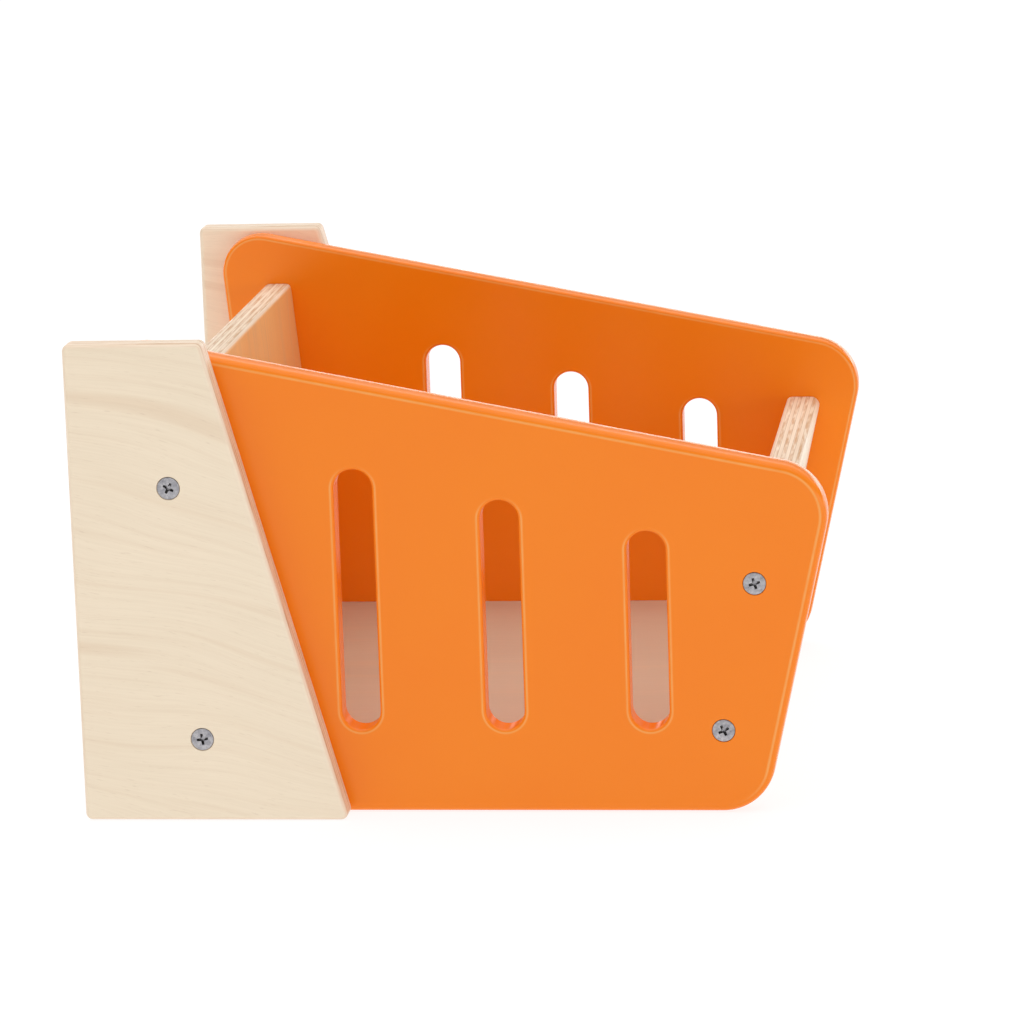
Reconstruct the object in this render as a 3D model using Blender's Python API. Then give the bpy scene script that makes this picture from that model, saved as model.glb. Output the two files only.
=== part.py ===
"""Open-top storage bin that closes the side of a toddler slide.

Two orange slotted side panels are held apart by two leaning end boards and a floor board.
A birch plywood cheek lies on the outside of each side panel at the inner end.
X runs along the bin, Y across it and Z up. The origin is at the bottom, in the middle.
"""
import math

import bmesh
import bpy
from mathutils import Matrix, Vector

# Driving dimensions, in metres.
BOARD = 0.015
OUTER_BOARD = 0.018
FIT_GAP = 0.0003
INNER_WIDTH = 0.322
OUTSIDE_ARRIS = 0.0032
INSIDE_ARRIS = 0.0016

# Side panel: the outline's four edges, seen from the side.
PANEL_TOP_AT_ORIGIN = 0.2054
PANEL_TOP_SLOPE = math.radians(11.4)
PANEL_LEFT_FOOT = -0.1496
PANEL_RIGHT_FOOT = 0.1506
CORNER_RADIUS = 0.026
TOP_LEFT_RADIUS = 0.021

# Slots: three of the same width, whose tops step down with the panel.
SLOT_CENTRE = 0.0244
SLOT_PITCH = 0.0709
SLOT_WIDTH = 0.0189
SLOT_BOTTOM = 0.0416
SLOT_TOP_MIDDLE = 0.1561
SLOT_TOP_STEP = 0.0157
SLOT_ARRIS = 0.0014

# End boards: each leans outwards about its foot, and its top is cut level.
INNER_LEAN = math.radians(-5.0)
INNER_FOOT = -0.1194
INNER_TOP = 0.2075
OUTER_LEAN = math.radians(12.7)
OUTER_FOOT = 0.1216
OUTER_TOP = 0.1410
BOARD_EDGE_RADIUS = 0.003
OUTER_EDGE_RADIUS = 0.0045

# Floor board between the end boards.
FLOOR_TOP = 0.0263

# Cheeks, on the outside of the side panels.
CHEEK_LEFT = -0.1831
CHEEK_RIGHT_FOOT = -0.052
CHEEK_LEAN = math.radians(-15.0)
CHEEK_HEIGHT = 0.237
CHEEK_CORNER_RADIUS = 0.0032
CHEEK_ARRIS = 0.0026

# Countersunk wood screws, driven through the sides into the end boards.
SCREW_LOW = 0.0411
OUTER_SCREW_HIGH = 0.1142
INNER_SCREW_HIGH = 0.1664
HEAD_RADIUS = 0.0055
HEAD_HEIGHT = 0.0030
HEAD_RIM = 0.0004
HEAD_SINK = 0.0002
SHANK_RADIUS = 0.0025
SCREW_IN_BOARD = 0.035
TIP_LENGTH = 0.004
HOLE_CLEARANCE = 0.0003

# Wooden dowels between the floor board and the side panels.
DOWEL_RADIUS = 0.004
DOWEL_IN_PANEL = 0.010
DOWEL_IN_FLOOR = 0.020
DOWEL_POSITIONS = (-0.085, 0.003, 0.091)

# Facet counts, and the angle from which an edge is shaded sharp.
ARRIS_STEPS = 3
CORNER_STEPS = 8
EDGE_STEPS = 3
SLOT_STEPS = 8
HOLE_SIDES = 16
SHARP_ANGLE = math.radians(25)

PANEL_INSIDE = INNER_WIDTH / 2
PANEL_OUTSIDE = PANEL_INSIDE + BOARD
CHEEK_INSIDE = PANEL_OUTSIDE + FIT_GAP
CROSS_LENGTH = INNER_WIDTH - 2 * FIT_GAP
FLOOR_BOTTOM = FLOOR_TOP - BOARD
SIDES = {"near": -1, "far": 1}


def clear_scene():
    for obj in list(bpy.data.objects):
        bpy.data.objects.remove(obj, do_unlink=True)


def make_material(name, colour, roughness, metallic=0.0):
    material = bpy.data.materials.new(name)
    material.use_nodes = True
    shader = material.node_tree.nodes["Principled BSDF"]
    shader.inputs["Base Color"].default_value = (*colour, 1.0)
    shader.inputs["Roughness"].default_value = roughness
    shader.inputs["Metallic"].default_value = metallic
    material.diffuse_color = (*colour, 1.0)
    return material


def centre_line(foot, lean, height):
    """X of a leaning board's middle plane at a height."""
    return foot + math.tan(lean) * height


def crossing(point_a, direction_a, point_b, direction_b):
    """Where two lines in the XZ plane cross."""
    cross = direction_a.cross(direction_b)
    along = (point_b - point_a).cross(direction_b) / cross
    return point_a + direction_a * along


def rounded_outline(corners, radii, steps):
    """Closed outline, anticlockwise, with an arc in place of each corner that has a radius."""
    points = []
    for index, corner in enumerate(corners):
        radius = radii[index]
        if radius == 0:
            points.append(corner.copy())
            continue
        before = (corners[index - 1] - corner).normalized()
        after = (corners[(index + 1) % len(corners)] - corner).normalized()
        half_angle = before.angle(after) / 2
        centre = corner + (before + after).normalized() * (radius / math.sin(half_angle))
        start = corner + before * (radius / math.tan(half_angle)) - centre
        turn = math.pi - 2 * half_angle
        for step in range(steps + 1):
            spin = Matrix.Rotation(turn * step / steps, 2)
            points.append(centre + spin @ start)
    return points


def circle(x, z, radius):
    turn = 2 * math.pi / HOLE_SIDES
    return [
        Vector((x + radius * math.cos(turn * k), z + radius * math.sin(turn * k)))
        for k in range(HOLE_SIDES)
    ]


def slot_outline(x, bottom, top):
    """Upright slot with half-round ends."""
    radius = SLOT_WIDTH / 2
    points = []
    for centre_z, first_angle in ((bottom + radius, math.pi), (top - radius, 0.0)):
        for step in range(SLOT_STEPS + 1):
            angle = first_angle + math.pi * step / SLOT_STEPS
            offset = Vector((math.cos(angle), math.sin(angle))) * radius
            points.append(Vector((x, centre_z)) + offset)
    return points


def grow(points, distance):
    """Outline moved outwards by a distance, or inwards where it is negative."""
    moved = []
    for index, point in enumerate(points):
        before = (point - points[index - 1]).normalized()
        after = (points[(index + 1) % len(points)] - point).normalized()
        normal = Vector((before.y + after.y, -before.x - after.x)).normalized()
        stretch = normal.dot(Vector((after.y, -after.x)))
        moved.append(point + normal * (distance / stretch))
    return moved


def straight_wall(points, thickness):
    return [(points, 0.0), (points, thickness)]


def arris_rings(points, radius, towards_material):
    """Rings from a face round to the wall, each with its depth below the face."""
    rings = []
    for step in range(ARRIS_STEPS + 1):
        angle = math.pi / 2 * step / ARRIS_STEPS
        inset = radius * (1 - math.sin(angle))
        rings.append((grow(points, towards_material * inset), radius * (1 - math.cos(angle))))
    return rings


def rounded_wall(points, thickness, first_radius, last_radius, towards_material):
    """Wall whose two arrises are rounded; towards_material is -1 outside and +1 in a slot."""
    first = arris_rings(points, first_radius, towards_material)
    last = arris_rings(points, last_radius, towards_material)
    return first + [(ring, thickness - depth) for ring, depth in reversed(last)]


def countersunk_hole(x, z, thickness):
    """Through hole whose cone opens at the far end of the thickness."""
    wide = circle(x, z, HEAD_RADIUS + HOLE_CLEARANCE)
    narrow = circle(x, z, SHANK_RADIUS + HOLE_CLEARANCE)
    rim_depth = HEAD_SINK + HEAD_RIM
    cone_depth = rim_depth + HEAD_HEIGHT
    return [
        (narrow, 0.0),
        (narrow, thickness - cone_depth),
        (wide, thickness - rim_depth),
        (wide, thickness),
    ]


def blind_hole(x, z, radius, mouth, bottom):
    ring = circle(x, z, radius)
    return [(ring, mouth), (ring, bottom)]


def add_solid(name, material, walls, thickness, start, direction):
    """Closed solid from walls that run along Y; a ring inside the thickness ends a blind hole."""
    bm = bmesh.new()
    face_edges = {0.0: [], thickness: []}
    for wall in walls:
        rings = []
        for points, depth in wall:
            y = start + direction * depth
            rings.append([bm.verts.new((point.x, y, point.y)) for point in points])
        for ring, following in zip(rings, rings[1:]):
            for k in range(len(ring)):
                bm.faces.new((ring[k - 1], ring[k], following[k], following[k - 1]))
        for ring, (_, depth) in ((rings[0], wall[0]), (rings[-1], wall[-1])):
            if depth in face_edges:
                edges = [bm.edges.get((ring[k - 1], ring[k])) for k in range(len(ring))]
                face_edges[depth].extend(edges)
            else:
                bm.faces.new(ring)
    for edges in face_edges.values():
        bmesh.ops.triangle_fill(bm, edges=edges, use_beauty=True)
    bmesh.ops.recalc_face_normals(bm, faces=bm.faces)
    return add_object(name, bm, material)


def add_turned(name, material, profile, location, rotation):
    """Closed turned solid; the profile lists (radius, height) from the bottom to the top."""
    bm = bmesh.new()
    rings = []
    for radius, height in profile:
        count = HOLE_SIDES if radius > 0 else 1
        ring = [
            bm.verts.new((point.x, point.y, height))
            for point in circle(0, 0, radius)[:count]
        ]
        rings.append(ring)
    for ring, following in zip(rings, rings[1:]):
        for k in range(HOLE_SIDES):
            if len(ring) == 1:
                bm.faces.new((ring[0], following[k], following[k - 1]))
            else:
                bm.faces.new((ring[k - 1], ring[k], following[k], following[k - 1]))
    for ring in (rings[0], rings[-1]):
        if len(ring) > 1:
            bm.faces.new(ring)
    bmesh.ops.recalc_face_normals(bm, faces=bm.faces)
    obj = add_object(name, bm, material)
    obj.location = location
    obj.rotation_euler = rotation
    return obj


def add_object(name, bm, material):
    mesh = bpy.data.meshes.new(name)
    bm.to_mesh(mesh)
    bm.free()
    mesh.materials.append(material)
    mesh.shade_smooth()
    mesh.set_sharp_from_angle(angle=SHARP_ANGLE)
    obj = bpy.data.objects.new(name, mesh)
    bpy.context.collection.objects.link(obj)
    return obj


def panel_corners():
    """The side panel's corners, from the bottom left, anticlockwise."""
    along_top = Vector((1.0, -math.tan(PANEL_TOP_SLOPE)))
    top_point = Vector((0.0, PANEL_TOP_AT_ORIGIN))
    left_foot = Vector((PANEL_LEFT_FOOT, 0.0))
    right_foot = Vector((PANEL_RIGHT_FOOT, 0.0))
    left_edge = Vector((math.tan(INNER_LEAN), 1.0))
    right_edge = Vector((math.tan(OUTER_LEAN), 1.0))
    top_right = crossing(right_foot, right_edge, top_point, along_top)
    top_left = crossing(left_foot, left_edge, top_point, along_top)
    return [left_foot, right_foot, top_right, top_left]


def screw_places():
    """Name, X, height and whether a cheek lies over the panel there, for one side's screws."""
    return [
        ("inner_low", centre_line(INNER_FOOT, INNER_LEAN, SCREW_LOW), SCREW_LOW, True),
        ("inner_high", centre_line(INNER_FOOT, INNER_LEAN, INNER_SCREW_HIGH), INNER_SCREW_HIGH, True),
        ("outer_low", centre_line(OUTER_FOOT, OUTER_LEAN, SCREW_LOW), SCREW_LOW, False),
        ("outer_high", centre_line(OUTER_FOOT, OUTER_LEAN, OUTER_SCREW_HIGH), OUTER_SCREW_HIGH, False),
    ]


def build_side_panels(material):
    radii = [CORNER_RADIUS, CORNER_RADIUS, CORNER_RADIUS, TOP_LEFT_RADIUS]
    outline = rounded_outline(panel_corners(), radii, CORNER_STEPS)
    walls = [rounded_wall(outline, BOARD, INSIDE_ARRIS, OUTSIDE_ARRIS, -1)]
    for step in (-1, 0, 1):
        x = SLOT_CENTRE + step * SLOT_PITCH
        top = SLOT_TOP_MIDDLE - step * SLOT_TOP_STEP
        slot = slot_outline(x, SLOT_BOTTOM, top)
        walls.append(rounded_wall(slot, BOARD, SLOT_ARRIS, SLOT_ARRIS, 1))
    for _, x, z, under_cheek in screw_places():
        if under_cheek:
            walls.append(straight_wall(circle(x, z, SHANK_RADIUS + HOLE_CLEARANCE), BOARD))
        else:
            walls.append(countersunk_hole(x, z, BOARD))
    for x in DOWEL_POSITIONS:
        z = FLOOR_TOP - BOARD / 2
        depth = DOWEL_IN_PANEL + FIT_GAP
        walls.append(blind_hole(x, z, DOWEL_RADIUS + HOLE_CLEARANCE, 0.0, depth))
    for side, sign in SIDES.items():
        add_solid(f"side_panel_{side}", material, walls, BOARD, sign * PANEL_INSIDE, sign)


def build_cheeks(material):
    corners = [
        Vector((CHEEK_LEFT, 0.0)),
        Vector((CHEEK_RIGHT_FOOT, 0.0)),
        Vector((centre_line(CHEEK_RIGHT_FOOT, CHEEK_LEAN, CHEEK_HEIGHT), CHEEK_HEIGHT)),
        Vector((CHEEK_LEFT, CHEEK_HEIGHT)),
    ]
    outline = rounded_outline(corners, [CHEEK_CORNER_RADIUS] * len(corners), EDGE_STEPS)
    walls = [rounded_wall(outline, BOARD, CHEEK_ARRIS, CHEEK_ARRIS, -1)]
    for _, x, z, under_cheek in screw_places():
        if under_cheek:
            walls.append(countersunk_hole(x, z, BOARD))
    for side, sign in SIDES.items():
        add_solid(f"cheek_{side}", material, walls, BOARD, sign * CHEEK_INSIDE, sign)


def build_end_board(name, material, thickness, foot, lean, top, edge_radii, screw_heights):
    """Leaning board; the two edge radii are those along its top, on its +X and its -X side."""
    half = thickness / 2 / math.cos(lean)
    corners = [
        Vector((centre_line(foot, lean, height) + reach, height))
        for reach, height in ((-half, FLOOR_BOTTOM), (half, FLOOR_BOTTOM), (half, top), (-half, top))
    ]
    outline = rounded_outline(corners, [0, 0, *edge_radii], EDGE_STEPS)
    walls = [straight_wall(outline, CROSS_LENGTH)]
    depth = SCREW_IN_BOARD + FIT_GAP
    for height in screw_heights:
        x = centre_line(foot, lean, height)
        radius = SHANK_RADIUS + HOLE_CLEARANCE
        walls.append(blind_hole(x, height, radius, 0.0, depth))
        walls.append(blind_hole(x, height, radius, CROSS_LENGTH, CROSS_LENGTH - depth))
    add_solid(name, material, walls, CROSS_LENGTH, -CROSS_LENGTH / 2, 1)


def build_floor_board(material):
    inner_reach = BOARD / 2 / math.cos(INNER_LEAN) + FIT_GAP
    outer_reach = OUTER_BOARD / 2 / math.cos(OUTER_LEAN) + FIT_GAP
    outline = [
        Vector((centre_line(INNER_FOOT, INNER_LEAN, FLOOR_BOTTOM) + inner_reach, FLOOR_BOTTOM)),
        Vector((centre_line(OUTER_FOOT, OUTER_LEAN, FLOOR_BOTTOM) - outer_reach, FLOOR_BOTTOM)),
        Vector((centre_line(OUTER_FOOT, OUTER_LEAN, FLOOR_TOP) - outer_reach, FLOOR_TOP)),
        Vector((centre_line(INNER_FOOT, INNER_LEAN, FLOOR_TOP) + inner_reach, FLOOR_TOP)),
    ]
    walls = [straight_wall(outline, CROSS_LENGTH)]
    depth = DOWEL_IN_FLOOR + FIT_GAP
    radius = DOWEL_RADIUS + HOLE_CLEARANCE
    for x in DOWEL_POSITIONS:
        z = FLOOR_TOP - BOARD / 2
        walls.append(blind_hole(x, z, radius, 0.0, depth))
        walls.append(blind_hole(x, z, radius, CROSS_LENGTH, CROSS_LENGTH - depth))
    add_solid("floor_board", material, walls, CROSS_LENGTH, -CROSS_LENGTH / 2, 1)


def build_screws(material):
    """Each screw is turned about Z with its head up, then laid along Y with its head outwards."""
    for side, sign in SIDES.items():
        for place, x, z, under_cheek in screw_places():
            face = CHEEK_INSIDE + BOARD if under_cheek else PANEL_OUTSIDE
            length = face - CROSS_LENGTH / 2 + SCREW_IN_BOARD - HEAD_SINK
            profile = [
                (0.0, -length),
                (SHANK_RADIUS, -length + TIP_LENGTH),
                (SHANK_RADIUS, -HEAD_HEIGHT - HEAD_RIM),
                (HEAD_RADIUS, -HEAD_RIM),
                (HEAD_RADIUS, 0.0),
            ]
            location = (x, sign * (face - HEAD_SINK), z)
            rotation = (-sign * math.pi / 2, 0.0, 0.0)
            add_turned(f"screw_{place}_{side}", material, profile, location, rotation)


def build_dowels(material):
    for side, sign in SIDES.items():
        for number, x in enumerate(DOWEL_POSITIONS, start=1):
            inner_end = CROSS_LENGTH / 2 - DOWEL_IN_FLOOR
            length = PANEL_INSIDE + DOWEL_IN_PANEL - inner_end
            location = (x, sign * inner_end, FLOOR_TOP - BOARD / 2)
            profile = [(DOWEL_RADIUS, 0.0), (DOWEL_RADIUS, length)]
            rotation = (-sign * math.pi / 2, 0.0, 0.0)
            add_turned(f"floor_dowel_{number}_{side}", material, profile, location, rotation)


def main():
    clear_scene()
    orange = make_material("orange_lacquer", (0.871, 0.246, 0.031), 0.35)
    birch = make_material("birch_plywood", (0.84, 0.73, 0.55), 0.5)
    steel = make_material("zinc_steel", (0.33, 0.36, 0.40), 0.35, metallic=0.9)
    beech = make_material("beech_dowel", (0.62, 0.42, 0.25), 0.6)
    build_side_panels(orange)
    build_cheeks(birch)
    inner_screws = (SCREW_LOW, INNER_SCREW_HIGH)
    outer_screws = (SCREW_LOW, OUTER_SCREW_HIGH)
    inner_radii = (BOARD_EDGE_RADIUS, BOARD_EDGE_RADIUS)
    outer_radii = (OUTER_EDGE_RADIUS, BOARD_EDGE_RADIUS)
    build_end_board(
        "inner_end_board", birch, BOARD, INNER_FOOT, INNER_LEAN, INNER_TOP, inner_radii, inner_screws
    )
    build_end_board(
        "outer_end_board", birch, OUTER_BOARD, OUTER_FOOT, OUTER_LEAN, OUTER_TOP, outer_radii, outer_screws
    )
    build_floor_board(birch)
    build_screws(steel)
    build_dowels(beech)


main()
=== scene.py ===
"""Looks of the toddler slide's storage bin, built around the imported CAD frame.

Every board is remade with soft arrises and its own grain, the screws get their threads and cross
recesses and the dowels their flutes. All lengths are in metres, in the frame of the CAD model.
"""
import math

import bmesh
import bpy
from mathutils import Matrix, Vector


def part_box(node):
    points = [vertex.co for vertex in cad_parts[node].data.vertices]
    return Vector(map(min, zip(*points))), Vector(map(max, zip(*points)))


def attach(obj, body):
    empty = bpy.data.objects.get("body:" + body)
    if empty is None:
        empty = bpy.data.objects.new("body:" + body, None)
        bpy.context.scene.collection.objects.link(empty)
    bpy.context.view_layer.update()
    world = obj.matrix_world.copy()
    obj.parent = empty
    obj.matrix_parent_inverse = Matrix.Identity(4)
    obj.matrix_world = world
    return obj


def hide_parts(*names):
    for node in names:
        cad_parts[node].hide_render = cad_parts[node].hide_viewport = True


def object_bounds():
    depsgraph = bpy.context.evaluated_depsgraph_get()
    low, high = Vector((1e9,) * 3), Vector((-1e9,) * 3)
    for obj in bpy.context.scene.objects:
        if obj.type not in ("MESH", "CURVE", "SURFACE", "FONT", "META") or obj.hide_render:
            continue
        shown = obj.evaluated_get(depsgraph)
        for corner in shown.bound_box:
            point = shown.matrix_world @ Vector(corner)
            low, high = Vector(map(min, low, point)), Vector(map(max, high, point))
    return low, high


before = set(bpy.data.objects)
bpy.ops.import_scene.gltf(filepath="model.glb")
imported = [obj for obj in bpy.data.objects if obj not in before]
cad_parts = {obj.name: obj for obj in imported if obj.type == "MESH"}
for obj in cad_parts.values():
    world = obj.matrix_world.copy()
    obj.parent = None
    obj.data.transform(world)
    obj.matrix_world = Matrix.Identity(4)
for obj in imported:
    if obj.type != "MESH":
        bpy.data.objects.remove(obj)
cad_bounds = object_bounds()

BOARD, OUTER_BOARD = 0.015, 0.018
FIT_GAP = 0.0003
PANEL_IN, PANEL_OUT = 0.161, 0.176
CHEEK_IN = PANEL_OUT + FIT_GAP
OUTSIDE_ARRIS, INSIDE_ARRIS, SLOT_ARRIS, CHEEK_ARRIS = 0.0032, 0.0016, 0.0014, 0.0026
CHEEK_CORNER_RADIUS = 0.0032
# The first two set the painted highlight: the width of the pale line beside each lacquered arris, and how it
# fades on edges that face down.
EDGE_HIGHLIGHT_WIDTH, EDGE_HIGHLIGHT_FADE, CROWN = 0.0010, 0.8, 0.00032
BOARD_EDGE_RADIUS, OUTER_EDGE_RADIUS, SAWN_ARRIS = 0.003, 0.0045, 0.0005

# Outline of a side panel, seen from the side.
PANEL_TOP_AT_ORIGIN = 0.2054
PANEL_TOP_SLOPE = math.radians(11.4)
PANEL_LEFT_FOOT, PANEL_RIGHT_FOOT = -0.1496, 0.1506
CORNER_RADIUS, TOP_LEFT_RADIUS = 0.026, 0.021
SLOT_CENTRE, SLOT_PITCH, SLOT_WIDTH = 0.0244, 0.0709, 0.0189
SLOT_BOTTOM, SLOT_TOP_MIDDLE, SLOT_TOP_STEP = 0.0416, 0.1561, 0.0157

# Leaning end boards and cheeks.
INNER_LEAN, OUTER_LEAN, CHEEK_LEAN = math.radians(-5.0), math.radians(12.7), math.radians(-15.0)
INNER_FOOT, OUTER_FOOT, CHEEK_RIGHT_FOOT = -0.1194, 0.1216, -0.052

# Screws and dowels.
HEAD_RADIUS, HEAD_HEIGHT, HEAD_RIM, HEAD_SINK = 0.0055, 0.0030, 0.0004, 0.0002
SHANK_RADIUS, CORE_RADIUS, THREAD_PITCH = 0.0025, 0.0018, 0.0024
SCREW_DEPTH, RECESS_REACH, RECESS_DEPTH = 0.0353, 0.0028, 0.0020
DOWEL_DEPTH_IN_PANEL, DOWEL_DEPTH_IN_FLOOR = 0.0103, 0.0203
HOLE_CLEARANCE = 0.0003
DOWEL_RADIUS = 0.004
THREAD_STEPS_PER_PITCH = 10
NECK_RADIUS = SHANK_RADIUS * 0.94
TIP_LENGTH, SMOOTH_SHARE, CREST_HALF_WIDTH = 0.006, 0.40, 0.28
DOWEL_SIDES, DOWEL_FLUTES, DOWEL_CHAMFER, FLUTE_DEPTH = 96, 16, 0.0008, 0.00025

# Facets. A crowned edge has rings at these shares of the way between its arrises.
ARRIS_STEPS, CORNER_STEPS, SLOT_STEPS, FILLET_STEPS, CIRCLE_SIDES = 6, 24, 24, 5, 48
CROWN_PLACES = (0.2, 0.4, 0.6, 0.8)
LACQUERED_RINGS = 2 * (ARRIS_STEPS + 1) + len(CROWN_PLACES) + 2
SHARP_ANGLE = math.radians(35)

# Grain. Each kind of board is shifted to its own part of the noise. The end boards' shift also
# keeps their middle off the border of the noise's cells, which showed there as a line.
PLIES = 9
CHEEK_GRAIN_TILT = math.radians(-13.0)
CHEEK_GRAIN_SHIFT, END_BOARD_GRAIN_SHIFT = 0.1, 0.3713
FLOOR_GRAIN_SHIFT = (0.3, 0.4)

# Camera, fitted to the edges that show: angles in degrees, lens and sensor in millimetres.
CAMERA_AZIMUTH, CAMERA_ELEVATION, CAMERA_ROLL = 7.055, 12.162, -1.880
CAMERA_PLACE, CAMERA_LENS, SENSOR_WIDTH = (0.3016, -2.3622, 0.6251), 164.2, 36.0

# How far the ground lies below the bin.
STAGE_GAP = 0.0003

SIDES = {"near": -1, "far": 1}


# ---------------------------------------------------------------- outlines and closed solids

def rounded_outline(corners, radii, steps):
    """Closed outline, anticlockwise, with an arc in place of each corner that has a radius."""
    points = []
    for index, corner in enumerate(corners):
        radius = radii[index]
        if radius == 0:
            points.append(corner.copy())
            continue
        before = (corners[index - 1] - corner).normalized()
        after = (corners[(index + 1) % len(corners)] - corner).normalized()
        half_angle = before.angle(after) / 2
        centre = corner + (before + after).normalized() * (radius / math.sin(half_angle))
        start = corner + before * (radius / math.tan(half_angle)) - centre
        turn = math.pi - 2 * half_angle
        for step in range(steps + 1):
            points.append(centre + Matrix.Rotation(turn * step / steps, 2) @ start)
    return points


def circle(x, z, radius):
    turn = 2 * math.pi / CIRCLE_SIDES
    return [
        Vector((x + radius * math.cos(turn * k), z + radius * math.sin(turn * k)))
        for k in range(CIRCLE_SIDES)
    ]


def slot_outline(x, bottom, top):
    radius = SLOT_WIDTH / 2
    points = []
    for centre_z, first_angle in ((bottom + radius, math.pi), (top - radius, 0.0)):
        for step in range(SLOT_STEPS + 1):
            angle = first_angle + math.pi * step / SLOT_STEPS
            offset = Vector((math.cos(angle), math.sin(angle))) * radius
            points.append(Vector((x, centre_z)) + offset)
    return points


def grow(points, distance):
    """Outline moved outwards by a distance, or inwards where it is negative."""
    moved = []
    for index, point in enumerate(points):
        before = (point - points[index - 1]).normalized()
        after = (points[(index + 1) % len(points)] - point).normalized()
        normal = Vector((before.y + after.y, -before.x - after.x)).normalized()
        moved.append(point + normal * (distance / normal.dot(Vector((after.y, -after.x)))))
    return moved


def straight_wall(points, thickness):
    return [(points, 0.0), (points, thickness)]


def arris_rings(points, radius, towards_material):
    """Rings from a face round to the wall, each with its depth below the face."""
    rings = []
    for step in range(ARRIS_STEPS + 1):
        angle = math.pi / 2 * step / ARRIS_STEPS
        inset = radius * (1 - math.sin(angle))
        rings.append((grow(points, towards_material * inset), radius * (1 - math.cos(angle))))
    return rings


def rounded_wall(points, thickness, first_radius, last_radius, towards_material):
    """Wall with two rounded arrises; towards_material is -1 outside and +1 in an opening."""
    first = arris_rings(points, first_radius, towards_material)
    last = arris_rings(points, last_radius, towards_material)
    return first + [(ring, thickness - depth) for ring, depth in reversed(last)]


def lacquered_wall(points, thickness, first_radius, last_radius, towards_material, crown_height=0.0):
    """Rounded wall, crowned if asked, and a flat ring beside each arris that carries the painted highlight
    line.
    """
    sunk = grow(points, towards_material * crown_height)
    wall = rounded_wall(sunk, thickness, first_radius, last_radius, towards_material)
    flat_width = thickness - first_radius - last_radius
    crown = []
    for place in CROWN_PLACES:
        rise = crown_height * (1 - (2 * place - 1) ** 2)
        crown.append((grow(sunk, -towards_material * rise), first_radius + flat_width * place))
    half = len(wall) // 2
    beside_first = grow(sunk, towards_material * (first_radius + EDGE_HIGHLIGHT_WIDTH))
    beside_last = grow(sunk, towards_material * (last_radius + EDGE_HIGHLIGHT_WIDTH))
    return [(beside_first, 0.0), *wall[:half], *crown, *wall[half:], (beside_last, thickness)]


def countersunk_hole(x, z, thickness):
    wide = circle(x, z, HEAD_RADIUS + HOLE_CLEARANCE)
    narrow = circle(x, z, SHANK_RADIUS + HOLE_CLEARANCE)
    rim_depth = HEAD_SINK + HEAD_RIM
    return [
        (narrow, 0.0),
        (narrow, thickness - rim_depth - HEAD_HEIGHT),
        (wide, thickness - rim_depth),
        (wide, thickness),
    ]


def blind_hole(x, z, radius, mouth, bottom):
    ring = circle(x, z, radius)
    return [(ring, mouth), (ring, bottom)]


def add_solid(name, walls, thickness, start, direction):
    """Closed solid whose walls run along Y; a ring inside the thickness ends a blind hole.

    Where a lacquered arris meets its face, the points store a painted highlight line, but not on edges that
    face down.
    """
    bm = bmesh.new()
    painted_edge_highlight = bm.verts.layers.float.new("painted_edge_highlight")
    face_edges = {0.0: [], thickness: []}
    for wall in walls:
        rings = []
        for points, depth in wall:
            y = start + direction * depth
            rings.append([bm.verts.new((point.x, y, point.y)) for point in points])
        # Painted highlight: how strong the pale line beside each arris is, full where the arris faces up or
        # sideways, none where it faces down.
        if len(wall) == LACQUERED_RINGS:
            for beside, tangent in ((rings[0], rings[1]), (rings[-1], rings[-2])):
                for inner, vertex in zip(beside, tangent):
                    rise = (vertex.co - inner.co).normalized().z
                    vertex[painted_edge_highlight] = min(1.0, max(0.0, (rise + 1.0) / EDGE_HIGHLIGHT_FADE))
        for ring, following in zip(rings, rings[1:]):
            for k in range(len(ring)):
                bm.faces.new((ring[k - 1], ring[k], following[k], following[k - 1]))
        for ring, (_, depth) in ((rings[0], wall[0]), (rings[-1], wall[-1])):
            if depth in face_edges:
                edges = [bm.edges.get((ring[k - 1], ring[k])) for k in range(len(ring))]
                face_edges[depth].extend(edges)
            else:
                bm.faces.new(ring)
    for edges in face_edges.values():
        bmesh.ops.triangle_fill(bm, edges=edges, use_beauty=True)
    bmesh.ops.recalc_face_normals(bm, faces=bm.faces)
    return add_object(name, bm)


def add_object(name, bm):
    """Object with smooth arrises whose large faces keep their flat shading."""
    mesh = bpy.data.meshes.new(name)
    bm.to_mesh(mesh)
    bm.free()
    mesh.shade_smooth()
    mesh.set_sharp_from_angle(angle=SHARP_ANGLE)
    obj = bpy.data.objects.new(name, mesh)
    bpy.context.scene.collection.objects.link(obj)
    weighted = obj.modifiers.new("even_shading", "WEIGHTED_NORMAL")
    weighted.mode = "FACE_AREA"
    weighted.weight = 100
    weighted.keep_sharp = True
    return obj


def finish_piece(obj, node, material):
    obj.data.materials.append(material)
    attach(obj, "root")
    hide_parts(node)


def lay_grain(obj, along, across, through, origin):
    """Store each point's place in the board: along the grain, across it and through the plies."""
    layer = obj.data.attributes.new("grain", "FLOAT_VECTOR", "POINT")
    for vertex, value in zip(obj.data.vertices, layer.data):
        offset = vertex.co - origin
        value.vector = (offset.dot(along), offset.dot(across), offset.dot(through))


# ---------------------------------------------------------------- materials

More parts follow.
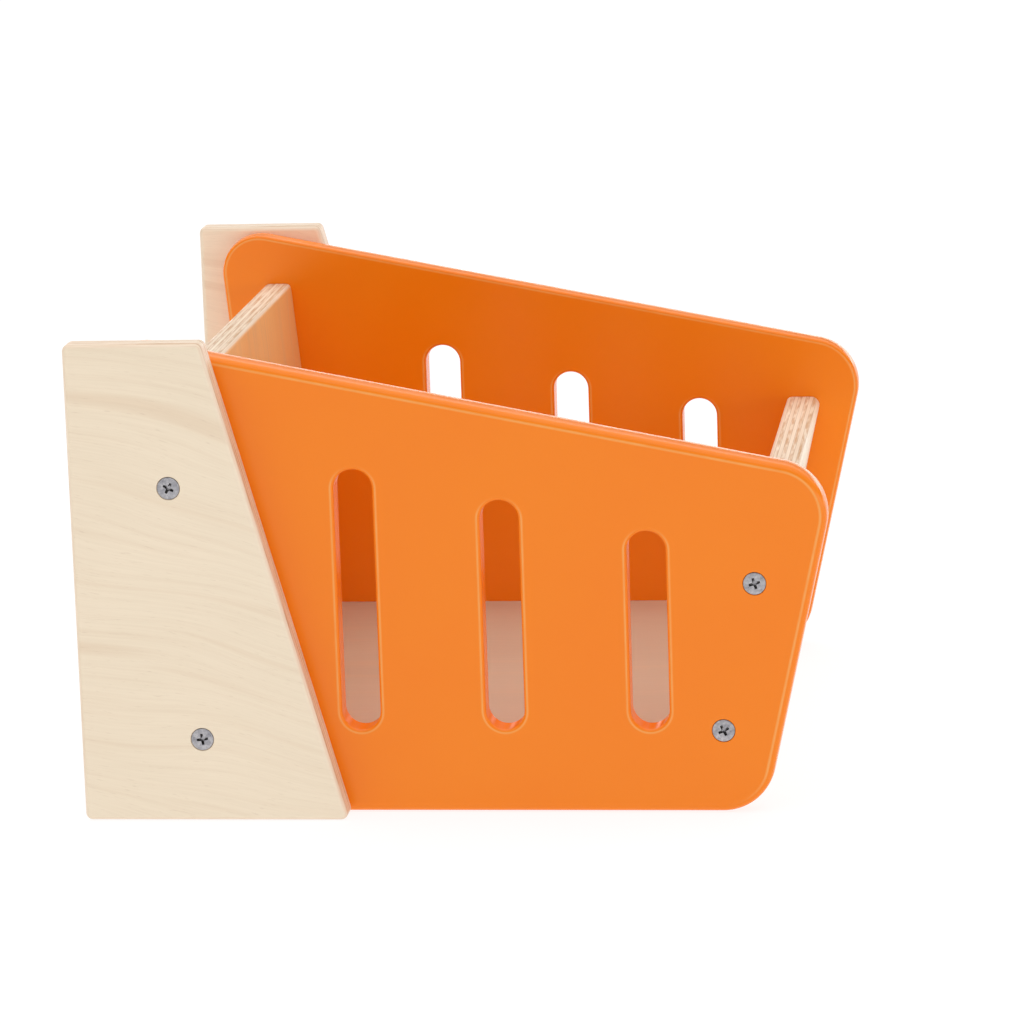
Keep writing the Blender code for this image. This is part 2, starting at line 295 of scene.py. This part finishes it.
class Nodes:
    """Short calls for building one material's node tree."""

    def __init__(self, name):
        self.material = bpy.data.materials.new(name)
        self.material.use_nodes = True
        self.tree = self.material.node_tree
        self.shader = self.tree.nodes["Principled BSDF"]

    def add(self, kind, inputs=(), **settings):
        node = self.tree.nodes.new(kind)
        for key, value in settings.items():
            setattr(node, key, value)
        for key, value in dict(inputs).items():
            if isinstance(value, bpy.types.NodeSocket):
                self.tree.links.new(value, node.inputs[key])
            else:
                node.inputs[key].default_value = value
        return node

    def math(self, operation, a, b=0.0, c=0.0):
        return self.add("ShaderNodeMath", {0: a, 1: b, 2: c}, operation=operation).outputs[0]

    def stretch(self, vector, scale):
        return self.add("ShaderNodeMapping", {"Vector": vector, "Scale": scale}).outputs[0]

    def noise(self, vector, scale, detail=2.0, roughness=0.5):
        inputs = {"Vector": vector, "Scale": scale, "Detail": detail, "Roughness": roughness}
        return self.add("ShaderNodeTexNoise", inputs).outputs["Fac"]

    def remap(self, value, low, high, to_low=0.0, to_high=1.0):
        inputs = {
            "Value": value, "From Min": low, "From Max": high,
            "To Min": to_low, "To Max": to_high,
        }
        return self.add("ShaderNodeMapRange", inputs, clamp=True).outputs[0]

    def mix(self, factor, first, second):
        node = self.add("ShaderNodeMix", data_type="RGBA")
        sockets = (node.inputs[0], node.inputs[6], node.inputs[7])
        for socket, value in zip(sockets, (factor, first, second)):
            if isinstance(value, bpy.types.NodeSocket):
                self.tree.links.new(value, socket)
            elif isinstance(value, tuple):
                socket.default_value = (*value, 1.0)
            else:
                socket.default_value = value
        return node.outputs[2]

    def bump(self, height, strength, distance):
        inputs = {"Height": height, "Strength": strength, "Distance": distance}
        return self.add("ShaderNodeBump", inputs).outputs[0]

    def set(self, **values):
        for key, value in values.items():
            socket = self.shader.inputs[key.replace("_", " ")]
            if isinstance(value, bpy.types.NodeSocket):
                self.tree.links.new(value, socket)
            else:
                socket.default_value = value


def orange_lacquer():
    """Sprayed satin lacquer: faint orange peel, and a pale painted highlight line beside each arris."""
    n = Nodes("orange_lacquer")
    place = n.add("ShaderNodeTexCoord").outputs["Object"]
    film = n.noise(place, 18.0, detail=3.0)
    colour = n.mix(n.remap(film, 0.3, 0.7), (0.968, 0.226, 0.0020), (0.972, 0.238, 0.0030))
    thin = n.add("ShaderNodeAttribute", attribute_name="painted_edge_highlight").outputs["Fac"]
    patchy = n.remap(n.noise(place, 90.0, detail=2.0), 0.3, 0.7, 0.32, 0.46)
    # Painted highlight: a pale line mixed into the lacquer's colour beside each arris, with patchy strength.
    colour = n.mix(n.math("MULTIPLY", thin, patchy), colour, (0.970, 0.660, 0.240))
    peel = n.noise(place, 700.0, detail=2.0)
    waves = n.noise(place, 120.0, detail=1.0)
    height = n.math("ADD", peel, n.math("MULTIPLY", waves, 2.0))
    n.set(
        Base_Color=colour,
        Roughness=n.remap(film, 0.3, 0.7, 0.20, 0.26),
        Normal=n.bump(height, 0.08, 0.0002),
        IOR=1.42,
    )
    return n.material


def birch_plywood(name, veneer_light, veneer_dark, figure=1.0, back_veneer=None):
    """Clear-lacquered birch: a rotary-cut veneer, and thin plies wherever an edge is cut.

    The figure is how strongly the veneer's rings, fibres and flecks show. A back veneer is the
    light and dark colour of the face where the depth is least.
    """
    n = Nodes(name)
    place = n.add("ShaderNodeAttribute", attribute_name="grain").outputs["Vector"]
    parts = n.add("ShaderNodeSeparateXYZ", {0: place})
    along, across, depth = parts.outputs

    drift = n.noise(n.stretch(place, (6.0, 11.0, 0.0)), 1.0, detail=1.0)
    bent = n.math("MULTIPLY_ADD", drift, 0.045, across)
    flow = n.add("ShaderNodeCombineXYZ", {0: along, 1: bent, 2: depth}).outputs[0]
    late_wood = n.remap(n.noise(n.stretch(flow, (3.5, 75.0, 0.0)), 1.0, detail=2.0), 0.57, 0.70)
    fine_rings = n.remap(n.noise(n.stretch(flow, (7.0, 320.0, 0.0)), 1.0, detail=2.0), 0.50, 0.72)
    fibres = n.noise(n.stretch(flow, (35.0, 1300.0, 1300.0)), 1.0, detail=3.0, roughness=0.6)
    flecks = n.remap(n.noise(n.stretch(flow, (170.0, 1700.0, 900.0)), 1.0, detail=1.0), 0.66, 0.80)
    clouds = n.remap(n.noise(n.stretch(place, (7.0, 18.0, 5.0)), 1.0, detail=2.0), 0.3, 0.7)

    face = n.mix(clouds, veneer_light, veneer_dark)
    if back_veneer:
        is_front = n.math("GREATER_THAN", depth, BOARD / 2)
        face = n.mix(is_front, n.mix(clouds, *back_veneer), face)
    face = n.mix(n.math("MULTIPLY", late_wood, 0.24 * figure), face, (0.70, 0.46, 0.28))
    face = n.mix(n.math("MULTIPLY", fine_rings, 0.14 * figure), face, (0.72, 0.52, 0.35))
    face = n.mix(n.remap(fibres, 0.35, 0.70, 0.0, 0.14 * figure), face, (0.70, 0.55, 0.38))
    face = n.mix(n.math("MULTIPLY", flecks, 0.22 * figure), face, (0.56, 0.39, 0.25))

    ply = BOARD / PLIES
    layer = n.math("DIVIDE", depth, ply)
    tone = n.add("ShaderNodeTexWhiteNoise", {"W": n.math("FLOOR", layer)}, noise_dimensions="1D")
    streaks = n.noise(n.stretch(place, (60.0, 26.0, 1500.0)), 1.0, detail=3.0, roughness=0.6)
    cross_ply = n.math("PINGPONG", n.math("FLOOR", layer), 1.0)
    broken = n.remap(n.noise(n.stretch(place, (20.0, 55.0, 700.0)), 1.0, detail=2.0), 0.38, 0.62)
    shade = n.math("MULTIPLY_ADD", tone.outputs["Value"], 0.15, n.remap(streaks, 0.3, 0.7, 0.0, 0.30))
    shade = n.math("MULTIPLY_ADD", n.math("MULTIPLY", cross_ply, broken), 0.65, shade)
    core = n.mix(shade, (0.975, 0.830, 0.660), (0.60, 0.340, 0.165))
    within = n.math("ABSOLUTE", n.math("SUBTRACT", n.math("FRACT", layer), 0.5))
    glue = n.math("MULTIPLY", n.remap(within, 0.40, 0.47), n.remap(streaks, 0.35, 0.65, 0.80, 0.25))
    core = n.mix(glue, core, (0.44, 0.270, 0.150))
    from_middle = n.math("ABSOLUTE", n.math("SUBTRACT", depth, BOARD / 2))
    veneer = n.remap(from_middle, BOARD / 2 - 0.30 * ply, BOARD / 2 - 0.10 * ply)
    height = n.math("MULTIPLY_ADD", flecks, -0.3, fibres)
    n.set(
        Base_Color=n.mix(veneer, core, face),
        Roughness=n.remap(fibres, 0.3, 0.7, 0.33, 0.45),
        Normal=n.bump(height, 0.10, 0.0002),
        IOR=1.45,
    )
    return n.material


def zinc_steel():
    """Dull zinc on steel, mottled, with painted shade down in the cross recess."""
    n = Nodes("zinc_steel")
    local = n.add("ShaderNodeTexCoord").outputs["Object"]
    where = n.add("ShaderNodeObjectInfo").outputs["Location"]
    place = n.add("ShaderNodeVectorMath", {0: local, 1: where}, operation="ADD").outputs[0]
    blotches = n.noise(place, 420.0, detail=3.0, roughness=0.6)
    specks = n.noise(place, 1900.0, detail=1.0)
    colour = n.mix(n.remap(blotches, 0.34, 0.66), (0.290, 0.285, 0.310), (0.560, 0.545, 0.560))
    colour = n.mix(n.remap(specks, 0.58, 0.72, 0.0, 0.5), colour, (0.16, 0.16, 0.18))
    parts = n.add("ShaderNodeSeparateXYZ", {0: local})
    x, y, z = parts.outputs
    radius = n.math("SQRT", n.math("ADD", n.math("MULTIPLY", x, x), n.math("MULTIPLY", y, y)))
    # Painted shade: below its rim the recess goes near black, except near the tip at its centre.
    deep = n.remap(z, -0.0002, -0.0008)
    in_recess = n.remap(radius, RECESS_REACH, RECESS_REACH + 0.0001, 1.0, 0.0)
    beside_tip = n.remap(radius, 0.0009, 0.0013)
    recess_shade = n.math("MULTIPLY", n.math("MULTIPLY", deep, in_recess), n.math("MULTIPLY", beside_tip, 0.85))
    n.set(
        Base_Color=n.mix(recess_shade, colour, (0.030, 0.026, 0.022)),
        Metallic=1.0,
        Roughness=n.remap(blotches, 0.3, 0.7, 0.26, 0.42),
        Normal=n.bump(blotches, 0.10, 0.0001),
    )
    return n.material


def beech_dowel():
    n = Nodes("beech_dowel")
    place = n.add("ShaderNodeTexCoord").outputs["Object"]
    fibres = n.noise(n.stretch(place, (1500.0, 1500.0, 60.0)), 1.0, detail=3.0)
    n.set(
        Base_Color=n.mix(n.remap(fibres, 0.3, 0.7), (0.60, 0.40, 0.24), (0.72, 0.52, 0.34)),
        Roughness=0.6,
        Normal=n.bump(fibres, 0.2, 0.0002),
    )
    return n.material


# ---------------------------------------------------------------- boards

def centre_line(foot, lean, height):
    return foot + math.tan(lean) * height


def crossing(point_a, direction_a, point_b, direction_b):
    along = (point_b - point_a).cross(direction_b) / direction_a.cross(direction_b)
    return point_a + direction_a * along


def panel_corners():
    along_top = Vector((1.0, -math.tan(PANEL_TOP_SLOPE)))
    top_point = Vector((0.0, PANEL_TOP_AT_ORIGIN))
    left_foot = Vector((PANEL_LEFT_FOOT, 0.0))
    right_foot = Vector((PANEL_RIGHT_FOOT, 0.0))
    left_edge = Vector((math.tan(INNER_LEAN), 1.0))
    right_edge = Vector((math.tan(OUTER_LEAN), 1.0))
    top_right = crossing(right_foot, right_edge, top_point, along_top)
    top_left = crossing(left_foot, left_edge, top_point, along_top)
    return [left_foot, right_foot, top_right, top_left]


def middle(node):
    low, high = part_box(node)
    return (low + high) / 2


def screw_axes(side):
    """X and height of one side's screws: those through the cheek, and those beside it."""
    places = {}
    for end in ("inner", "outer"):
        for level in ("low", "high"):
            centre = middle(f"screw_{end}_{level}_{side}")
            places.setdefault(end, []).append((centre.x, centre.z))
    return places


def build_side_panels(material):
    radii = [CORNER_RADIUS, CORNER_RADIUS, CORNER_RADIUS, TOP_LEFT_RADIUS]
    outline = rounded_outline(panel_corners(), radii, CORNER_STEPS)
    for side, sign in SIDES.items():
        walls = [lacquered_wall(outline, BOARD, INSIDE_ARRIS, OUTSIDE_ARRIS, -1, CROWN)]
        for step in (-1, 0, 1):
            x = SLOT_CENTRE + step * SLOT_PITCH
            slot = slot_outline(x, SLOT_BOTTOM, SLOT_TOP_MIDDLE - step * SLOT_TOP_STEP)
            walls.append(lacquered_wall(slot, BOARD, SLOT_ARRIS, SLOT_ARRIS, 1))
        screws = screw_axes(side)
        for x, z in screws["inner"]:
            walls.append(straight_wall(circle(x, z, SHANK_RADIUS + HOLE_CLEARANCE), BOARD))
        for x, z in screws["outer"]:
            walls.append(countersunk_hole(x, z, BOARD))
        for number in (1, 2, 3):
            centre = middle(f"floor_dowel_{number}_{side}")
            radius = DOWEL_RADIUS + HOLE_CLEARANCE
            walls.append(blind_hole(centre.x, centre.z, radius, 0.0, DOWEL_DEPTH_IN_PANEL))
        node = f"side_panel_{side}"
        obj = add_solid(f"{node}_lacquered", walls, BOARD, sign * PANEL_IN, sign)
        finish_piece(obj, node, material)


def build_cheeks(materials):
    along = Vector((math.cos(CHEEK_GRAIN_TILT), 0.0, math.sin(CHEEK_GRAIN_TILT)))
    across = Vector((-math.sin(CHEEK_GRAIN_TILT), 0.0, math.cos(CHEEK_GRAIN_TILT)))
    for side, sign in SIDES.items():
        node = f"cheek_{side}"
        low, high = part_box(node)
        corners = [
            Vector((low.x, 0.0)),
            Vector((CHEEK_RIGHT_FOOT, 0.0)),
            Vector((centre_line(CHEEK_RIGHT_FOOT, CHEEK_LEAN, high.z), high.z)),
            Vector((low.x, high.z)),
        ]
        outline = rounded_outline(corners, [CHEEK_CORNER_RADIUS] * len(corners), ARRIS_STEPS)
        walls = [rounded_wall(outline, BOARD, CHEEK_ARRIS, CHEEK_ARRIS, -1)]
        for x, z in screw_axes(side)["inner"]:
            walls.append(countersunk_hole(x, z, BOARD))
        obj = add_solid(f"{node}_birch", walls, BOARD, sign * CHEEK_IN, sign)
        through = Vector((0.0, sign, 0.0))
        origin = Vector((CHEEK_GRAIN_SHIFT * sign, sign * CHEEK_IN, 0.0))
        lay_grain(obj, along, across, through, origin)
        finish_piece(obj, node, materials[side])


def build_end_board(node, thickness, foot, lean, edge_radii, screws_at, material):
    low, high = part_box(node)
    length = high.y - low.y
    half = thickness / 2 / math.cos(lean)
    levels = ((-half, low.z), (half, low.z), (half, high.z), (-half, high.z))
    corners = [Vector((centre_line(foot, lean, height) + reach, height)) for reach, height in levels]
    radii = [SAWN_ARRIS, SAWN_ARRIS, *edge_radii]
    walls = [straight_wall(rounded_outline(corners, radii, ARRIS_STEPS), length)]
    for x, z in screws_at:
        radius = SHANK_RADIUS + HOLE_CLEARANCE
        walls.append(blind_hole(x, z, radius, 0.0, SCREW_DEPTH))
        walls.append(blind_hole(x, z, radius, length, length - SCREW_DEPTH))
    obj = add_solid(f"{node}_birch", walls, length, low.y, 1)
    along = Vector((math.sin(lean), 0.0, math.cos(lean)))
    through = Vector((math.cos(lean), 0.0, -math.sin(lean)))
    origin = Vector((foot, -END_BOARD_GRAIN_SHIFT, 0.0)) - through * (thickness / 2)
    lay_grain(obj, along, Vector((0.0, 1.0, 0.0)), through * (BOARD / thickness), origin)
    finish_piece(obj, node, material)


def build_floor_board(material):
    node = "floor_board"
    low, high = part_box(node)
    length = high.y - low.y
    inner_reach = BOARD / 2 / math.cos(INNER_LEAN) + FIT_GAP
    outer_reach = OUTER_BOARD / 2 / math.cos(OUTER_LEAN) + FIT_GAP
    outline = [
        Vector((centre_line(INNER_FOOT, INNER_LEAN, low.z) + inner_reach, low.z)),
        Vector((centre_line(OUTER_FOOT, OUTER_LEAN, low.z) - outer_reach, low.z)),
        Vector((centre_line(OUTER_FOOT, OUTER_LEAN, high.z) - outer_reach, high.z)),
        Vector((centre_line(INNER_FOOT, INNER_LEAN, high.z) + inner_reach, high.z)),
    ]
    walls = [straight_wall(outline, length)]
    for number in (1, 2, 3):
        centre = middle(f"floor_dowel_{number}_near")
        radius = DOWEL_RADIUS + HOLE_CLEARANCE
        walls.append(blind_hole(centre.x, centre.z, radius, 0.0, DOWEL_DEPTH_IN_FLOOR))
        walls.append(blind_hole(centre.x, centre.z, radius, length, length - DOWEL_DEPTH_IN_FLOOR))
    obj = add_solid(f"{node}_birch", walls, length, low.y, 1)
    along, across, through = Matrix.Identity(3)
    lay_grain(obj, along, across, through, Vector((*FLOOR_GRAIN_SHIFT, low.z)))
    finish_piece(obj, node, material)


# ---------------------------------------------------------------- screws and dowels

def cross_outline(reach, half_width, fillet):
    """Four arms with round inner corners, anticlockwise."""
    points = []
    inner = half_width + fillet
    for arm in range(4):
        turn = Matrix.Rotation(math.pi / 2 * arm, 2)
        points.append(turn @ Vector((reach, -half_width * 0.8)))
        points.append(turn @ Vector((reach, half_width * 0.8)))
        for step in range(FILLET_STEPS + 1):
            angle = math.pi * 1.5 - math.pi / 2 * step / FILLET_STEPS
            corner = Vector((inner + fillet * math.cos(angle), inner + fillet * math.sin(angle)))
            points.append(turn @ corner)
    return points


def screw_mesh(length, spin):
    """Countersunk screw, head up at the origin, with a cross recess and a coarse thread."""
    bm = bmesh.new()

    def ring(points, height):
        return [bm.verts.new((point.x, point.y, height)) for point in points]

    def bridge(first, second):
        for k in range(len(first)):
            bm.faces.new((first[k - 1], first[k], second[k], second[k - 1]))

    # The head's profile from its flat top down to the neck: radius and height.
    head = [
        (HEAD_RADIUS - 0.0003, 0.0),
        (HEAD_RADIUS - 0.00008, -0.00008),
        (HEAD_RADIUS, -HEAD_RIM * 0.6),
        (HEAD_RADIUS, -HEAD_RIM),
        (SHANK_RADIUS, -HEAD_RIM - HEAD_HEIGHT),
        (NECK_RADIUS, -HEAD_RIM - HEAD_HEIGHT - 0.0004),
    ]
    previous = None
    for radius, height in head:
        current = ring(circle(0, 0, radius), height)
        if previous:
            bridge(previous, current)
        else:
            rim = current
        previous = current

    thread_start = -SMOOTH_SHARE * length
    tip_start = -length + TIP_LENGTH
    steps = int((length - HEAD_RIM - HEAD_HEIGHT) / (THREAD_PITCH / THREAD_STEPS_PER_PITCH))
    end_gap = 0.0002
    first_height = head[-1][1] - end_gap
    for step in range(steps + 1):
        height = first_height + (-length + end_gap - first_height) * step / steps
        taper = min(1.0, max(0.02, (height + length) / TIP_LENGTH)) if height < tip_start else 1.0
        depth_in = min(1.0, max(0.0, (thread_start - height) / THREAD_PITCH))
        points = []
        for k in range(CIRCLE_SIDES):
            angle = 2 * math.pi * k / CIRCLE_SIDES
            phase = (height / THREAD_PITCH - angle / (2 * math.pi)) % 1.0
            crest = max(0.0, 1 - abs(phase - 0.5) / CREST_HALF_WIDTH)
            core = NECK_RADIUS + (CORE_RADIUS - NECK_RADIUS) * depth_in
            radius = (core + (SHANK_RADIUS - core) * crest * depth_in) * taper
            points.append(Vector((radius * math.cos(angle), radius * math.sin(angle))))
        current = ring(points, height)
        bridge(previous, current)
        previous = current
    bm.faces.new(previous)

    turn = Matrix.Rotation(spin, 2)
    # Rings down the recess: depth, reach of an arm, half its width, and the fillet beside it.
    recess = []
    for depth, reach, half_width, fillet in (
        (0.0, RECESS_REACH, 0.00074, 0.00024),
        (0.0002, RECESS_REACH - 0.0001, 0.00068, 0.00022),
        (0.0014, 0.00215, 0.00056, 0.00018),
        (0.0018, 0.00090, 0.00040, 0.00012),
    ):
        outline = [turn @ point for point in cross_outline(reach, half_width, fillet)]
        recess.append(ring(outline, -depth))
    for upper, lower in zip(recess, recess[1:]):
        bridge(upper, lower)
    apex = bm.verts.new((0.0, 0.0, -RECESS_DEPTH))
    for k in range(len(recess[-1])):
        bm.faces.new((recess[-1][k - 1], recess[-1][k], apex))
    edges = []
    for loop in (rim, recess[0]):
        edges.extend(bm.edges.get((loop[k - 1], loop[k])) for k in range(len(loop)))
    bmesh.ops.triangle_fill(bm, edges=edges, use_beauty=True)
    bmesh.ops.recalc_face_normals(bm, faces=bm.faces)
    return bm


def dowel_mesh(length):
    """Fluted dowel with chamfered ends, standing on the origin."""
    chamfer = DOWEL_CHAMFER
    bm = bmesh.new()
    previous = None
    for height, shrink in ((0.0, chamfer), (chamfer, 0.0), (length - chamfer, 0.0), (length, chamfer)):
        current = []
        for k in range(DOWEL_SIDES):
            angle = 2 * math.pi * k / DOWEL_SIDES
            groove = FLUTE_DEPTH * max(0.0, math.cos(DOWEL_FLUTES * angle))
            radius = DOWEL_RADIUS - shrink - groove
            current.append(bm.verts.new((radius * math.cos(angle), radius * math.sin(angle), height)))
        if previous:
            for k in range(DOWEL_SIDES):
                bm.faces.new((previous[k - 1], previous[k], current[k], current[k - 1]))
        else:
            bm.faces.new(current)
        previous = current
    bm.faces.new(previous)
    bmesh.ops.recalc_face_normals(bm, faces=bm.faces)
    return bm


def build_screws(material):
    spins = {"inner_low": 8, "inner_high": 61, "outer_low": 27, "outer_high": 17}
    spin_factor = {"near": 1, "far": 1.7}
    for side, sign in SIDES.items():
        for place, spin in spins.items():
            node = f"screw_{place}_{side}"
            low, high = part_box(node)
            centre = (low + high) / 2
            bm = screw_mesh(high.y - low.y, math.radians(spin * spin_factor[side]))
            obj = add_object(f"{node}_zinc", bm)
            obj.location = (centre.x, high.y if sign > 0 else low.y, centre.z)
            obj.rotation_euler = (-sign * math.pi / 2, 0.0, 0.0)
            finish_piece(obj, node, material)


def build_dowels(material):
    for side, sign in SIDES.items():
        for number in (1, 2, 3):
            node = f"floor_dowel_{number}_{side}"
            low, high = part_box(node)
            centre = (low + high) / 2
            obj = add_object(f"{node}_beech", dowel_mesh(high.y - low.y))
            obj.location = (centre.x, low.y if sign > 0 else high.y, centre.z)
            obj.rotation_euler = (-sign * math.pi / 2, 0.0, 0.0)
            finish_piece(obj, node, material)


# ---------------------------------------------------------------- stage, light and camera

def add_camera():
    azimuth, elevation = math.radians(CAMERA_AZIMUTH), math.radians(CAMERA_ELEVATION)
    roll = math.radians(CAMERA_ROLL)
    data = bpy.data.cameras.new("camera")
    data.lens = CAMERA_LENS
    data.sensor_width = SENSOR_WIDTH
    data.clip_end = 200.0
    camera = bpy.data.objects.new("camera", data)
    aim = (
        Matrix.Rotation(azimuth, 4, "Z")
        @ Matrix.Rotation(math.pi / 2 - elevation, 4, "X")
        @ Matrix.Rotation(roll, 4, "Z")
    )
    camera.matrix_world = Matrix.Translation(CAMERA_PLACE) @ aim
    bpy.context.scene.collection.objects.link(camera)
    bpy.context.scene.camera = camera


def add_area_light(name, azimuth, elevation, distance, size, power):
    """Soft box aimed at the bin; azimuth 0 is in front of the near panel."""
    azimuth, elevation = math.radians(azimuth), math.radians(elevation)
    target = Vector((0.0, 0.0, 0.1))
    away = Vector((
        math.sin(azimuth) * math.cos(elevation),
        -math.cos(azimuth) * math.cos(elevation),
        math.sin(elevation),
    ))
    data = bpy.data.lights.new(name, "AREA")
    data.shape = "RECTANGLE"
    data.size, data.size_y = size
    data.energy = power
    light = bpy.data.objects.new(name, data)
    light.location = target + away * distance
    light.rotation_euler = away.to_track_quat("Z", "Y").to_euler()
    bpy.context.scene.collection.objects.link(light)


def add_sky():
    """White studio: bright overhead, dim low in front, and a fifth dimmer high on the right.

    Low behind the bin is a band brighter than the rest, with a dark one above it.
    """
    world = bpy.data.worlds.new("white_studio")
    world.use_nodes = True
    tree = world.node_tree
    parts = tree.nodes.new("ShaderNodeSeparateXYZ")
    tree.links.new(tree.nodes.new("ShaderNodeTexCoord").outputs["Generated"], parts.inputs[0])

    def level_by_height(levels):
        ramp = tree.nodes.new("ShaderNodeValToRGB")
        while len(ramp.color_ramp.elements) < len(levels):
            ramp.color_ramp.elements.new(1.0)
        for element, (height, level) in zip(ramp.color_ramp.elements, levels):
            element.position = height
            element.color = (level, level, level, 1.0)
        tree.links.new(parts.outputs["Z"], ramp.inputs[0])
        return ramp.outputs[0]

    in_front = level_by_height((
        (0.0, 0.22), (0.18, 0.26), (0.34, 0.43), (0.60, 0.80), (0.80, 1.54), (1.0, 1.50),
    ))
    behind = level_by_height((
        (0.0, 2.60), (0.09, 2.60), (0.16, 0.12), (0.34, 0.20), (0.48, 1.56), (0.80, 1.50), (1.0, 1.50),
    ))
    side = tree.nodes.new("ShaderNodeMapRange")
    side.inputs["From Min"].default_value = -0.25
    side.inputs["From Max"].default_value = 0.25
    tree.links.new(parts.outputs["Y"], side.inputs["Value"])
    mix = tree.nodes.new("ShaderNodeMix")
    mix.data_type = "RGBA"
    tree.links.new(side.outputs[0], mix.inputs[0])
    tree.links.new(in_front, mix.inputs[6])
    tree.links.new(behind, mix.inputs[7])
    from_right = tree.nodes.new("ShaderNodeMapRange")
    for socket, value in (("From Min", -0.1), ("From Max", 0.45), ("To Min", 1.0), ("To Max", 0.80)):
        from_right.inputs[socket].default_value = value
    tree.links.new(parts.outputs["X"], from_right.inputs["Value"])
    above = tree.nodes.new("ShaderNodeMapRange")
    for socket, value in (("From Min", 0.10), ("From Max", 0.25)):
        above.inputs[socket].default_value = value
    tree.links.new(parts.outputs["Z"], above.inputs["Value"])
    shaded = tree.nodes.new("ShaderNodeMix")
    shaded.data_type = "RGBA"
    shaded.blend_type = "MULTIPLY"
    tree.links.new(above.outputs[0], shaded.inputs[0])
    tree.links.new(mix.outputs[2], shaded.inputs[6])
    tree.links.new(from_right.outputs[0], shaded.inputs[7])
    background = tree.nodes["Background"]
    tree.links.new(shaded.outputs[2], background.inputs["Color"])
    bpy.context.scene.world = world


def add_stage():
    bm = bmesh.new()
    bmesh.ops.create_grid(bm, x_segments=1, y_segments=1, size=30.0)
    mesh = bpy.data.meshes.new("pale_floor")
    bm.to_mesh(mesh)
    bm.free()
    floor = bpy.data.objects.new("pale_floor", mesh)
    floor.location.z = cad_bounds[0][2] - STAGE_GAP
    bpy.context.scene.collection.objects.link(floor)
    n = Nodes("pale_floor")
    n.set(
        Base_Color=(0.20, 0.20, 0.20, 1.0),
        Roughness=1.0,
        Specular_IOR_Level=0.0,
        Emission_Color=(1.0, 1.0, 1.0, 1.0),
        Emission_Strength=0.84,
    )
    floor.data.materials.append(n.material)

    add_sky()
    bpy.context.scene.view_settings.view_transform = "Standard"


def main():
    add_camera()
    add_stage()
    add_area_light("left_softbox", azimuth=-48, elevation=12, distance=2.8, size=(2.0, 1.0), power=2)
    add_area_light("right_softbox", azimuth=48, elevation=5, distance=2.8, size=(2.2, 0.6), power=9)
    bpy.context.scene.cycles.diffuse_bounces = 8
    orange = orange_lacquer()
    pale_birch = ((0.955, 0.812, 0.625), (0.922, 0.782, 0.598))
    birch = birch_plywood("birch_plywood", *pale_birch)
    # Painted light: the inner end board's face towards the bin is tinted orange in place of light bounced
    # off the orange panels; its back stays pale birch.
    bounce_tinted_birch = birch_plywood(
        "birch_painted_orange_bounce", (0.945, 0.535, 0.195), (0.895, 0.465, 0.155), figure=2.0, back_veneer=pale_birch
    )
    # Painted light: a paler, warmer copy of the birch for the far cheek, in place of the extra light and
    # orange bounce that falls on it.
    far_cheek_lit_birch = birch_plywood("birch_painted_far_cheek_light", (0.985, 0.830, 0.640), (0.970, 0.800, 0.610))
    # Painted shade: a darker copy of the birch for the floor board, in place of the shade inside the bin.
    shaded_floor_birch = birch_plywood("birch_painted_floor_shade", (0.585, 0.445, 0.335), (0.555, 0.415, 0.310))
    build_side_panels(orange)
    build_cheeks({"near": birch, "far": far_cheek_lit_birch})
    inner_screws = screw_axes("near")["inner"]
    outer_screws = screw_axes("near")["outer"]
    inner_radii = (BOARD_EDGE_RADIUS, BOARD_EDGE_RADIUS)
    outer_radii = (OUTER_EDGE_RADIUS, BOARD_EDGE_RADIUS)
    build_end_board("inner_end_board", BOARD, INNER_FOOT, INNER_LEAN, inner_radii, inner_screws, bounce_tinted_birch)
    build_end_board("outer_end_board", OUTER_BOARD, OUTER_FOOT, OUTER_LEAN, outer_radii, outer_screws, birch)
    build_floor_board(shaded_floor_birch)
    build_screws(zinc_steel())
    build_dowels(beech_dowel())


main()
